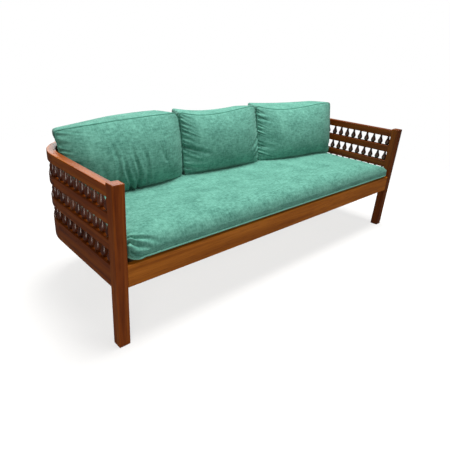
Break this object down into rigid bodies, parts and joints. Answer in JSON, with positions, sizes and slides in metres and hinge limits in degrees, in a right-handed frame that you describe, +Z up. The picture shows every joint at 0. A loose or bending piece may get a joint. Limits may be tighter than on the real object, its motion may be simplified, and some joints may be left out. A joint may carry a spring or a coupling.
{
  "type": "sofa",
  "caption": "Long wooden sofa with a low gallery of turned spindles round its arms, rounded rear corners and back, straight square legs, a long seat cushion and loose back cushions.",
  "frame": {"origin": "on the floor under the middle of the sofa's box", "axes": "+X along the sofa's length to the right as seen from the front, +Y from front to back, +Z up"},
  "size_m": [1.98, 0.75, 0.7413],
  "materials": {
    "show_wood": "satin reddish-brown polish",
    "turned_wood": "satin polish on turned wood",
    "inner_wood": "planed, unpolished",
    "cushion_fabric": "woven, slightly slubbed, with self piping"
  },
  "bodies": {
    "frame": {"front_post_left": "show_wood", "front_post_right": "show_wood", "rear_post_left": "show_wood", "rear_post_right": "show_wood", "front_seat_rail": "show_wood", "apron_left_arm": "show_wood", "apron_left_corner": "show_wood", "apron_back": "show_wood", "apron_right_corner": "show_wood", "apron_right_arm": "show_wood", "lower_rail_left_arm": "show_wood", "lower_rail_left_corner": "show_wood", "lower_rail_back": "show_wood", "lower_rail_right_corner": "show_wood", "lower_rail_right_arm": "show_wood", "middle_rail_left_arm": "show_wood", "middle_rail_left_corner": "show_wood", "middle_rail_back": "show_wood", "middle_rail_right_corner": "show_wood", "middle_rail_right_arm": "show_wood", "top_rail_left_arm": "show_wood", "top_rail_left_corner": "show_wood", "top_rail_back": "show_wood", "top_rail_right_corner": "show_wood", "top_rail_right_arm": "show_wood", "spindles_lower_left_arm": "turned_wood", "spindles_lower_left_corner": "turned_wood", "spindles_lower_back": "turned_wood", "spindles_lower_right_corner": "turned_wood", "spindles_lower_right_arm": "turned_wood", "spindles_middle_left_arm": "turned_wood", "spindles_middle_left_corner": "turned_wood", "spindles_middle_back": "turned_wood", "spindles_middle_right_corner": "turned_wood", "spindles_middle_right_arm": "turned_wood", "spindles_upper_left_arm": "turned_wood", "spindles_upper_left_corner": "turned_wood", "spindles_upper_back": "turned_wood", "spindles_upper_right_corner": "turned_wood", "spindles_upper_right_arm": "turned_wood", "corner_tenons": "inner_wood", "bearer_1": "inner_wood", "bearer_2": "inner_wood", "bearer_3": "inner_wood", "bearer_4": "inner_wood", "side_ledger_left": "inner_wood", "side_ledger_right": "inner_wood", "seat_slat_1": "inner_wood", "seat_slat_2": "inner_wood", "seat_slat_3": "inner_wood", "seat_slat_4": "inner_wood", "seat_slat_5": "inner_wood", "seat_slat_6": "inner_wood"},
    "seat": {"seat_cushion": "cushion_fabric"},
    "back_left": {"back_cushion_left": "cushion_fabric"},
    "back_centre": {"back_cushion_centre": "cushion_fabric"},
    "back_right": {"back_cushion_right": "cushion_fabric"}
  },
  "joints": [
    {"name": "seat_lift", "type": "slide", "parent": "frame", "child": "seat", "axis": [0, 0, 1], "range_m": [0, 0.4]},
    {"name": "back_left_lift", "type": "slide", "parent": "seat", "child": "back_left", "axis": [0, 0, 1], "range_m": [0, 0.4]},
    {"name": "back_centre_lift", "type": "slide", "parent": "seat", "child": "back_centre", "axis": [0, 0, 1], "range_m": [0, 0.4]},
    {"name": "back_right_lift", "type": "slide", "parent": "seat", "child": "back_right", "axis": [0, 0, 1], "range_m": [0, 0.4]}
  ]
}
